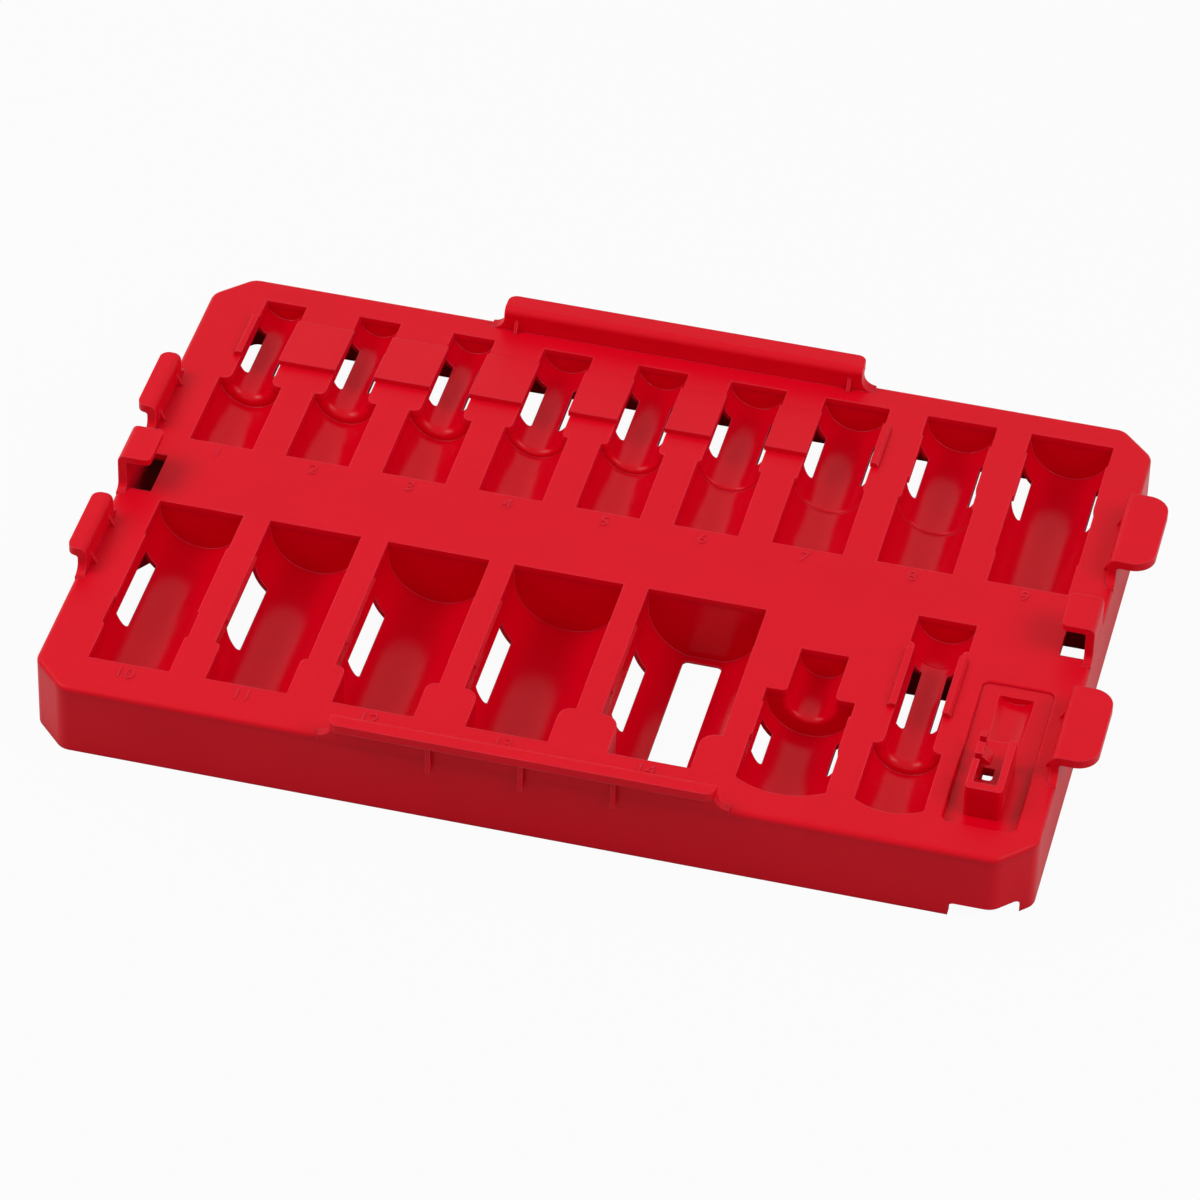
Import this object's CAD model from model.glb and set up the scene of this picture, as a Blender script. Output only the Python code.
import bmesh
import bpy
from bpy.props import (
    FloatProperty,
    FloatVectorProperty,
    IntProperty,
    PointerProperty,
)
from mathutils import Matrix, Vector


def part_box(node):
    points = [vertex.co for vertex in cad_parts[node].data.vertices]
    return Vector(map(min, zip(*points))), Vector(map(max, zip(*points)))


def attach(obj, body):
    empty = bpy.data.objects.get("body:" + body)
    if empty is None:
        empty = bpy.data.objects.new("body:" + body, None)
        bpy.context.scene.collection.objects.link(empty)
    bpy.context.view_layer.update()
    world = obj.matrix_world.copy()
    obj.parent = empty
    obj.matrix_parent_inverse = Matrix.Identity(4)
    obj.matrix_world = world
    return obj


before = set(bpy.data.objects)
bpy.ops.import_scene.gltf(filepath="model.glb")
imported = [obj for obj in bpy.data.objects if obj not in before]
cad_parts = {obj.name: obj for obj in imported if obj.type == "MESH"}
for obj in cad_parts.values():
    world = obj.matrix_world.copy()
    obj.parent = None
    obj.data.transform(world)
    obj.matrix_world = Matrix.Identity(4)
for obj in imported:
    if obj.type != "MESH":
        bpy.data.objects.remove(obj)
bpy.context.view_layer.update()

# Looks of a moulded socket tray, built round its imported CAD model.
# Laid out as an add-on and run as a script. Lengths are in metres, apart from the camera's lens
# and sensor, which are in millimetres.

bl_info = {
    "name": "Socket tray looks",
    "version": (1, 0, 0),
    "blender": (4, 5, 0),
    "location": "View3D > Sidebar > Socket tray",
    "description": "Materials, raised numbers and a studio for a moulded socket tray",
    "category": "Object",
}

MM = 0.001
PART_BODY = "tray"
REAR_POCKETS = [f"cradle_rear_{number}" for number in range(1, 10)]
FRONT_POCKETS = [f"cradle_front_{number}" for number in range(1, 6)]
ODD_POCKETS = ["cradle_front_6", "cradle_front_7"]
SKIRTS = ["front_skirt", "rear_skirt", "left_skirt", "right_skirt"]
ADAPTER = ["adapter_pan", "adapter_post", "adapter_stop", "adapter_latch"]
WEDGES = [f"retaining_wedge_{number}" for number in range(1, 7)]
RAILS = ["rear_left_rail", "rear_right_rail", "front_left_rail", "front_right_rail"]
RAISED = WEDGES + RAILS + ["front_lip_ribs"]
CORED = REAR_POCKETS + FRONT_POCKETS + ODD_POCKETS + ADAPTER
DECK_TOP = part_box("deck")[1].z
# Places where the solids of the one moulding meet: under the deck and at the side skirts' ends
JOINTS = (
    ("Z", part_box("deck")[0].z),
    ("Y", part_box("right_skirt")[0].y),
    ("Y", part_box("right_skirt")[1].y),
)
# Share of a font's size that its numerals stand tall
CAP_SHARE = 0.69
# Corners of a numeral that are nearer than this are one
WELD = 1e-6
# Width of the camera's sensor
SENSOR_WIDTH = 36
# Refractive index of polypropylene
PLASTIC_IOR = 1.49
# Range that most values of a noise lie in
NOISE_RANGE = (0.3, 0.7)
# How far the grain changes the roughness, and how much the drag marks add to it
GRAIN_SPREAD = 0.04
DRAG_GAIN = 0.16
# Drag marks are stretched up the wall by squashing the pattern's height
DRAG_SQUASH = 0.03
# Cosines of an edge's turn where rubbing starts and is full, and its greatest share
RUB_START = 0.995
RUB_FULL = 0.75
RUB_SHARE = 0.9
# Rays that a softened edge and the floor's shade are worked out with
SAMPLES = 4
# Power that deepens the tray's shade in reflections of the floor
SHADE_POWER = 2.0
WHITE = (1, 1, 1, 1)
# Sockets of a mix node for each kind of value: its two inputs and its output
MIX_SOCKETS = {"VECTOR": (4, 5, 1), "RGBA": (6, 7, 2)}


def linear(code):
    """An sRGB hex colour as linear red, green and blue."""
    shares = [int(code[place : place + 2], 16) / 255 for place in (1, 3, 5)]
    return tuple(c / 12.92 if c <= 0.04045 else ((c + 0.055) / 1.055) ** 2.4 for c in shares)


def add(tree, kind, inputs=None, **settings):
    """Add a node with its settings, and set or link its inputs."""
    node = tree.nodes.new(kind)
    for name, value in settings.items():
        setattr(node, name, value)
    for key, value in (inputs or {}).items():
        if isinstance(value, bpy.types.NodeSocket):
            tree.links.new(value, node.inputs[key])
        else:
            node.inputs[key].default_value = value
    return node


def calculate(tree, operation, *values):
    """Work out one number from others."""
    return add(tree, "ShaderNodeMath", dict(enumerate(values)), operation=operation).outputs[0]


def blend(tree, kind, share, first, second):
    """Mix two colours or two vectors by a share."""
    first_socket, second_socket, result = MIX_SOCKETS[kind]
    inputs = {0: share, first_socket: first, second_socket: second}
    return add(tree, "ShaderNodeMix", inputs, data_type=kind).outputs[result]


def noise(tree, place, length, detail, roughness=0.5):
    """Random clouds of about one length."""
    inputs = {"Vector": place, "Scale": 1 / length, "Detail": detail, "Roughness": roughness}
    return add(tree, "ShaderNodeTexNoise", inputs).outputs[0]


def remap(tree, value, before, after):
    """Carry a value over from one range to another."""
    inputs = {
        "Value": value,
        "From Min": before[0],
        "From Max": before[1],
        "To Min": after[0],
        "To Max": after[1],
    }
    return add(tree, "ShaderNodeMapRange", inputs).outputs[0]


def bump(tree, strength, depth, height, normal):
    """Tilt a normal by heights of a given depth."""
    inputs = {"Strength": strength, "Distance": depth, "Height": height, "Normal": normal}
    return add(tree, "ShaderNodeBump", inputs).outputs[0]


def empty_nodes(owner):
    """Turn on the nodes of a material or a world, and clear them."""
    owner.use_nodes = True
    owner.node_tree.nodes.clear()
    return owner.node_tree


class TrayMoulding(bpy.types.PropertyGroup):
    """Colour and surface of the moulding."""

    colour: FloatVectorProperty(
        name="Colour",
        description="Red of the polypropylene",
        subtype="COLOR",
        size=3,
        min=0,
        max=1,
        default=linear("#DC001E"),
    )
    flow_colour: FloatVectorProperty(
        name="Flow colour",
        description="Slightly darker red where the melt flowed and cooled",
        subtype="COLOR",
        size=3,
        min=0,
        max=1,
        default=linear("#D20018"),
    )
    scuff_colour: FloatVectorProperty(
        name="Scuff colour",
        description="Paler red of rubbed edges",
        subtype="COLOR",
        size=3,
        min=0,
        max=1,
        default=linear("#F0607A"),
    )
    flow_size: FloatProperty(
        name="Flow size",
        description="Length of the faint clouds left by the melt",
        unit="LENGTH",
        default=18 * MM,
    )
    grain_size: FloatProperty(
        name="Grain size",
        description="Grain of the spark-eroded mould, coarser than the real 0.1 mm, to show",
        unit="LENGTH",
        default=0.45 * MM,
    )
    grain_depth: FloatProperty(
        name="Grain depth",
        description="Depth of that grain",
        unit="LENGTH",
        default=0.004 * MM,
    )
    sink_size: FloatProperty(
        name="Sink size",
        description="Length of the shallow waves that shrinkage leaves",
        unit="LENGTH",
        default=14 * MM,
    )
    sink_depth: FloatProperty(
        name="Sink depth",
        description="Depth of those waves",
        unit="LENGTH",
        default=0.012 * MM,
    )
    edge_round: FloatProperty(
        name="Edge round",
        description="Radius that a moulded edge is softened by",
        unit="LENGTH",
        default=0.45 * MM,
    )
    glow: FloatProperty(
        name="Glow",
        description="Share of the light that goes into the walls and comes out again",
        subtype="FACTOR",
        min=0,
        max=1,
        default=0.4,
    )
    glow_reach: FloatProperty(
        name="Glow reach",
        description="How far red light travels inside the plastic",
        unit="LENGTH",
        default=3 * MM,
    )
    glow_share: FloatVectorProperty(
        name="Glow share",
        description="Share of that reach for red, green and blue",
        size=3,
        min=0,
        default=(1.0, 0.1, 0.1),
    )
    streak_size: FloatProperty(
        name="Streak size",
        description="Spacing of the drag marks that the mould leaves on upright walls",
        unit="LENGTH",
        default=0.9 * MM,
    )


class TrayNumbers(bpy.types.PropertyGroup):
    """Sizes of the raised pocket numbers."""

    cap_height: FloatProperty(
        name="Cap height",
        description="Height of a numeral on the deck",
        unit="LENGTH",
        default=3.9 * MM,
    )
    relief: FloatProperty(
        name="Relief",
        description="How far a numeral stands above the deck",
        unit="LENGTH",
        default=0.2 * MM,
    )
    gap: FloatProperty(
        name="Gap",
        description="Distance from a pocket's front edge to its numeral",
        unit="LENGTH",
        default=1.0 * MM,
    )
    cradle_wall: FloatProperty(
        name="Cradle wall",
        description="Thickness of a cradle's front wall, which lies between its box and its pocket",
        unit="LENGTH",
        default=1.3 * MM,
    )
    first: IntProperty(
        name="First number",
        description="Number of the first pocket of the rear row",
        default=1,
    )


class TrayStage(bpy.types.PropertyGroup):
    """Camera, lights and floor."""

    camera_place: FloatVectorProperty(
        name="Camera place",
        description="Where the camera stands",
        subtype="TRANSLATION",
        unit="LENGTH",
        default=(0.287455, -1.285915, 1.133696),
        precision=5,
    )
    camera_turn: FloatVectorProperty(
        name="Camera turn",
        description="Which way the camera points",
        subtype="EULER",
        unit="ROTATION",
        default=(0.8626413, -0.0244791, 0.2443490),
        precision=5,
    )
    lens: FloatProperty(
        name="Lens",
        description="Focal length on a 36 mm sensor",
        subtype="DISTANCE_CAMERA",
        default=190.8,
    )
    floor_size: FloatProperty(
        name="Floor size",
        description="Side of the square floor",
        unit="LENGTH",
        default=6.0,
    )
    floor_colour: FloatVectorProperty(
        name="Floor colour",
        description="Pale floor",
        subtype="COLOR",
        size=3,
        min=0,
        max=1,
        default=linear("#B4B3B1"),
    )
    floor_white: FloatProperty(
        name="Floor white",
        description="How far the floor fades to the white background; the rest keeps the shadow",
        subtype="FACTOR",
        min=0,
        max=1,
        default=0.95,
    )
    shade_reach: FloatProperty(
        name="Shade reach",
        description="How far the tray's shade reaches in reflections of the floor",
        unit="LENGTH",
        default=80 * MM,
    )
    sky: FloatProperty(
        name="Sky",
        description="Strength of the even light from all sides",
        min=0,
        default=0.47,
    )
    left_power: FloatProperty(
        name="Left power",
        description="Power of the softbox over the left",
        unit="POWER",
        default=7.2,
    )
    right_power: FloatProperty(
        name="Right power",
        description="Power of the softbox over the right",
        unit="POWER",
        default=5.5,
    )
    left_place: FloatVectorProperty(
        name="Left place",
        description="Where the left softbox hangs",
        subtype="TRANSLATION",
        unit="LENGTH",
        default=(-0.82, -0.15, 0.99),
    )
    right_place: FloatVectorProperty(
        name="Right place",
        description="Where the right softbox hangs",
        subtype="TRANSLATION",
        unit="LENGTH",
        default=(0.95, -0.22, 0.85),
    )
    box_size: FloatProperty(
        name="Box size",
        description="Side of a square softbox",
        unit="LENGTH",
        default=0.6,
    )


def soften(tree, place, radius):
    """Normals with rounded edges, and the true normals.

    Joints between the solids are left alone, because the one real moulding has no edge there.
    """
    soft = add(tree, "ShaderNodeBevel", {"Radius": radius}, samples=SAMPLES).outputs[0]
    flat = add(tree, "ShaderNodeNewGeometry").outputs["Normal"]
    along = add(tree, "ShaderNodeSeparateXYZ", {0: place}).outputs
    for axis, joint_place in JOINTS:
        near = calculate(tree, "COMPARE", along[axis], joint_place, radius)
        soft = blend(tree, "VECTOR", near, soft, flat)
    return soft, flat


def polypropylene(name, roughness, sheen, glow, grain, streaks, comment):
    """Injection moulded polypropylene: an even, slightly translucent red with a satin skin.

    The eye gets one deep red that goes pure where walls light each other, a broad soft sheen,
    faint clouds from the flow of the melt, a fine mould grain, and pale thin lines on the edges.
    """
    look = bpy.context.scene.tray_moulding
    material = bpy.data.materials.new(name)
    material["made_how"] = comment
    tree = empty_nodes(material)
    place = add(tree, "ShaderNodeTexCoord").outputs["Object"]
    # Clouds of the melt, as a slow change of colour
    clouds = noise(tree, place, look.flow_size, detail=3.0, roughness=0.55)
    tint = blend(tree, "RGBA", clouds, (*look.colour, 1), (*look.flow_colour, 1))
    # Rubbed edges, where the softened normal leaves the true one
    soft, flat = soften(tree, place, look.edge_round)
    turn = add(tree, "ShaderNodeVectorMath", {0: soft, 1: flat}, operation="DOT_PRODUCT")
    rub = remap(tree, turn.outputs["Value"], (RUB_START, RUB_FULL), (0.0, RUB_SHARE))
    scuffs = noise(tree, place, look.sink_size, detail=4.0)
    rubbed = calculate(tree, "MULTIPLY", rub, scuffs)
    colour = blend(tree, "RGBA", rubbed, tint, (*look.scuff_colour, 1))
    # Grain of the mould, drag marks that run up the walls, and waves from shrinkage
    fine = noise(tree, place, look.grain_size, detail=2.0, roughness=0.6)
    upright = add(tree, "ShaderNodeMapping", {"Vector": place, "Scale": (1.0, 1.0, DRAG_SQUASH)})
    drag = noise(tree, upright.outputs[0], look.streak_size, detail=2.0)
    waves = noise(tree, place, look.sink_size, detail=1.0)
    skin = remap(tree, fine, NOISE_RANGE, (roughness - GRAIN_SPREAD, roughness + GRAIN_SPREAD))
    worn = calculate(tree, "MULTIPLY_ADD", drag, DRAG_GAIN * streaks, skin)
    sunk = bump(tree, 1.0, look.sink_depth, waves, soft)
    marked = bump(tree, streaks, look.grain_depth, drag, sunk)
    grained = bump(tree, grain, look.grain_depth, fine, marked)
    shader = add(
        tree,
        "ShaderNodeBsdfPrincipled",
        {
            "Base Color": colour,
            "Roughness": worn,
            "Normal": grained,
            "IOR": PLASTIC_IOR,
            "Specular IOR Level": sheen,
            "Subsurface Weight": glow,
            "Subsurface Radius": look.glow_share,
            "Subsurface Scale": look.glow_reach,
        },
    )
    add(tree, "ShaderNodeOutputMaterial", {"Surface": shader.outputs[0]})
    return material


class TRAY_OT_finish(bpy.types.Operator):
    """Give every moulded solid its procedural finish"""

    bl_idname = "tray.finish"
    bl_label = "Finish the moulding"

    def execute(self, context):
        glow = context.scene.tray_moulding.glow
        textured = polypropylene(
            "polypropylene_spark_textured",
            roughness=0.42,
            sheen=0.15,
            glow=glow,
            grain=0.8,
            streaks=0.0,
            comment="Moulded against spark-eroded steel: a fine even grain and a wide satin sheen",
        )
        raised = polypropylene(
            "polypropylene_raised_detail",
            roughness=0.42,
            sheen=0.15,
            glow=0.0,
            grain=0.8,
            streaks=0.0,
            comment="Low details on the deck: the same grain and sheen, too thin to glow",
        )
        polished = polypropylene(
            "polypropylene_polished_core",
            roughness=0.20,
            sheen=0.14,
            glow=glow,
            grain=0.25,
            streaks=0.15,
            comment="Moulded against polished cores: a tighter sheen in the troughs",
        )
        drawn = polypropylene(
            "polypropylene_drawn_wall",
            roughness=0.34,
            sheen=0.15,
            glow=glow,
            grain=0.35,
            streaks=0.6,
            comment="Walls drawn out of the mould: faint upright drag marks",
        )
        finishes = {
            **dict.fromkeys(CORED, polished),
            **dict.fromkeys(SKIRTS, drawn),
            **dict.fromkeys(RAISED, raised),
        }
        for name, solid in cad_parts.items():
            finish = finishes.get(name, textured)
            solid.data.materials.clear()
            solid.data.materials.append(finish)
        return {"FINISHED"}


def numeral_tree(finish):
    """Geometry nodes that raise one number on the deck."""
    tree = bpy.data.node_groups.new("raised_number", "GeometryNodeTree")
    face = tree.interface
    sockets = (
        ("Number", "NodeSocketInt"),
        ("Cap height", "NodeSocketFloat"),
        ("Relief", "NodeSocketFloat"),
        ("Place", "NodeSocketVector"),
    )
    face.new_socket("Geometry", in_out="OUTPUT", socket_type="NodeSocketGeometry")
    for name, kind in sockets:
        face.new_socket(name, in_out="INPUT", socket_type=kind)
    given = add(tree, "NodeGroupInput").outputs
    words = add(tree, "FunctionNodeValueToString", {"Value": given["Number"]})
    size = calculate(tree, "DIVIDE", given["Cap height"], CAP_SHARE)
    lines = add(
        tree,
        "GeometryNodeStringToCurves",
        {"String": words.outputs[0], "Size": size},
        align_x="CENTER",
        align_y="TOP",
    )
    loose = add(
        tree, "GeometryNodeRealizeInstances", {"Geometry": lines.outputs["Curve Instances"]}
    )
    filled = add(tree, "GeometryNodeFillCurve", {"Curve": loose.outputs[0]}, mode="NGONS")
    raised = add(
        tree,
        "GeometryNodeExtrudeMesh",
        {"Mesh": filled.outputs[0], "Offset Scale": given["Relief"], "Individual": False},
    )
    under = add(tree, "GeometryNodeFlipFaces", {"Mesh": filled.outputs[0]})
    both = add(tree, "GeometryNodeJoinGeometry")
    tree.links.new(under.outputs[0], both.inputs[0])
    tree.links.new(raised.outputs["Mesh"], both.inputs[0])
    closed = add(
        tree, "GeometryNodeMergeByDistance", {"Geometry": both.outputs[0], "Distance": WELD}
    )
    placed = add(
        tree,
        "GeometryNodeTransform",
        {"Geometry": closed.outputs[0], "Translation": given["Place"]},
    )
    real = add(tree, "GeometryNodeRealizeInstances", {"Geometry": placed.outputs[0]})
    done = add(tree, "GeometryNodeSetMaterial", {"Geometry": real.outputs[0], "Material": finish})
    add(tree, "NodeGroupOutput", {"Geometry": done.outputs[0]})
    return tree


def number_mesh(context, tree, number, place):
    """Mesh of one number, made by the nodes on a spare object."""
    sizes = context.scene.tray_numbers
    inputs = {item.name: item.identifier for item in tree.interface.items_tree}
    spare = bpy.data.objects.new("number_maker", bpy.data.meshes.new("number_maker"))
    context.scene.collection.objects.link(spare)
    modifier = spare.modifiers.new("raised_number", "NODES")
    modifier.node_group = tree
    modifier[inputs["Number"]] = number
    modifier[inputs["Cap height"]] = sizes.cap_height
    modifier[inputs["Relief"]] = sizes.relief
    modifier[inputs["Place"]] = place
    spare.update_tag()
    graph = context.evaluated_depsgraph_get()
    made = bpy.data.meshes.new_from_object(spare.evaluated_get(graph))
    if not made.polygons:
        raise RuntimeError(f"number {number} has no faces")
    spare.modifiers.remove(modifier)
    bpy.data.objects.remove(spare)
    return made


class TRAY_OT_numbers(bpy.types.Operator):
    """Raise a plain number on the deck in front of each socket pocket"""

    bl_idname = "tray.numbers"
    bl_label = "Raise the numbers"

    def execute(self, context):
        sizes = context.scene.tray_numbers
        finish = bpy.data.materials["polypropylene_raised_detail"]
        tree = numeral_tree(finish)
        joined = bmesh.new()
        for number, pocket in enumerate(REAR_POCKETS + FRONT_POCKETS, start=sizes.first):
            low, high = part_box(pocket)
            edge = low.y + sizes.cradle_wall
            place = ((low.x + high.x) / 2, edge - sizes.gap, DECK_TOP)
            joined.from_mesh(number_mesh(context, tree, number, place))
        mesh = bpy.data.meshes.new("pocket_numbers")
        joined.to_mesh(mesh)
        joined.free()
        mesh.materials.append(finish)
        piece = bpy.data.objects.new("pocket_numbers", mesh)
        context.scene.collection.objects.link(piece)
        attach(piece, PART_BODY)
        return {"FINISHED"}


def seen_rays(tree, shade=1.0):
    """One for rays from the eye and through glass, the shade in reflections, else zero."""
    path = add(tree, "ShaderNodeLightPath").outputs
    seen = calculate(tree, "MULTIPLY", path["Is Glossy Ray"], shade)
    for kind in ("Is Camera Ray", "Is Transmission Ray"):
        seen = calculate(tree, "MAXIMUM", seen, path[kind])
    return seen


def set_camera(scene, stage):
    """Put the camera at the photograph's angle."""
    lens = bpy.data.cameras.new("camera")
    lens.lens = stage.lens
    lens.sensor_width = SENSOR_WIDTH
    camera = bpy.data.objects.new("camera", lens)
    camera.location = stage.camera_place
    camera.rotation_euler = stage.camera_turn
    scene.collection.objects.link(camera)
    scene.camera = camera


def white_world(stage):
    """World that is white to the eye and in reflections, and a soft grey light otherwise."""
    world = bpy.data.worlds.new("studio")
    tree = empty_nodes(world)
    seen = seen_rays(tree)
    light = add(tree, "ShaderNodeBackground", {"Color": WHITE, "Strength": stage.sky})
    white = add(tree, "ShaderNodeBackground", {"Color": WHITE, "Strength": 1.0})
    mixed = add(
        tree, "ShaderNodeMixShader", {0: seen, 1: light.outputs[0], 2: white.outputs[0]}
    )
    add(tree, "ShaderNodeOutputWorld", {"Surface": mixed.outputs[0]})
    return world


def floor_card(stage):
    """Pale card that keeps a soft shadow and fades to white."""
    material = bpy.data.materials.new("floor_card")
    tree = empty_nodes(material)
    shade = add(
        tree, "ShaderNodeAmbientOcclusion", {"Distance": stage.shade_reach}, samples=SAMPLES
    )
    deep = calculate(tree, "POWER", shade.outputs["AO"], SHADE_POWER)
    seen = seen_rays(tree, deep)
    fade = calculate(tree, "MULTIPLY", seen, stage.floor_white)
    card = add(
        tree,
        "ShaderNodeBsdfPrincipled",
        {"Base Color": (*stage.floor_colour, 1), "Roughness": 0.9, "Specular IOR Level": 0.0},
    )
    white = add(tree, "ShaderNodeEmission", {"Color": WHITE, "Strength": 1.0})
    mixed = add(
        tree, "ShaderNodeMixShader", {0: fade, 1: card.outputs[0], 2: white.outputs[0]}
    )
    add(tree, "ShaderNodeOutputMaterial", {"Surface": mixed.outputs[0]})
    return material


def lay_floor(scene, stage):
    """Lay the square floor under the tray."""
    half = stage.floor_size / 2
    mesh = bpy.data.meshes.new("floor")
    corners = [(-half, -half, 0), (half, -half, 0), (half, half, 0), (-half, half, 0)]
    mesh.from_pydata(corners, [], [(0, 1, 2, 3)])
    mesh.materials.append(floor_card(stage))
    floor = bpy.data.objects.new("floor", mesh)
    scene.collection.objects.link(floor)


def hang_softboxes(scene, stage):
    """Hang two softboxes, over the left and the right, that face the tray."""
    boxes = (
        ("softbox_left", stage.left_power, stage.left_place),
        ("softbox_right", stage.right_power, stage.right_place),
    )
    for name, power, place in boxes:
        lamp = bpy.data.lights.new(name, "AREA")
        lamp.energy = power
        lamp.shape = "SQUARE"
        lamp.size = stage.box_size
        holder = bpy.data.objects.new(name, lamp)
        holder.location = place
        holder.rotation_euler = (-holder.location).to_track_quat("-Z", "Y").to_euler()
        scene.collection.objects.link(holder)


class TRAY_OT_stage(bpy.types.Operator):
    """Set up the camera, the soft lights, the floor and the white background"""

    bl_idname = "tray.stage"
    bl_label = "Set the stage"

    def execute(self, context):
        scene = context.scene
        stage = scene.tray_stage
        scene.view_settings.view_transform = "Standard"
        set_camera(scene, stage)
        scene.world = white_world(stage)
        lay_floor(scene, stage)
        hang_softboxes(scene, stage)
        return {"FINISHED"}


class TRAY_PT_panel(bpy.types.Panel):
    """Settings and steps of the socket tray"""

    bl_idname = "TRAY_PT_panel"
    bl_label = "Socket tray"
    bl_space_type = "VIEW_3D"
    bl_region_type = "UI"
    bl_category = "Socket tray"

    def draw(self, context):
        layout = self.layout
        for holder, kind in GROUPS.items():
            for name in kind.__annotations__:
                layout.prop(getattr(context.scene, holder), name)
        for step in STEPS:
            layout.operator(step.bl_idname)


GROUPS = {"tray_moulding": TrayMoulding, "tray_numbers": TrayNumbers, "tray_stage": TrayStage}
STEPS = (TRAY_OT_finish, TRAY_OT_numbers, TRAY_OT_stage)


def register():
    for name, group in GROUPS.items():
        bpy.utils.register_class(group)
        setattr(bpy.types.Scene, name, PointerProperty(type=group))
    for kind in (*STEPS, TRAY_PT_panel):
        bpy.utils.register_class(kind)


def unregister():
    for kind in (TRAY_PT_panel, *reversed(STEPS)):
        bpy.utils.unregister_class(kind)
    for name, group in GROUPS.items():
        delattr(bpy.types.Scene, name)
        bpy.utils.unregister_class(group)


def main():
    register()
    bpy.ops.tray.finish()
    bpy.ops.tray.numbers()
    bpy.ops.tray.stage()


if __name__ == "__main__":
    main()
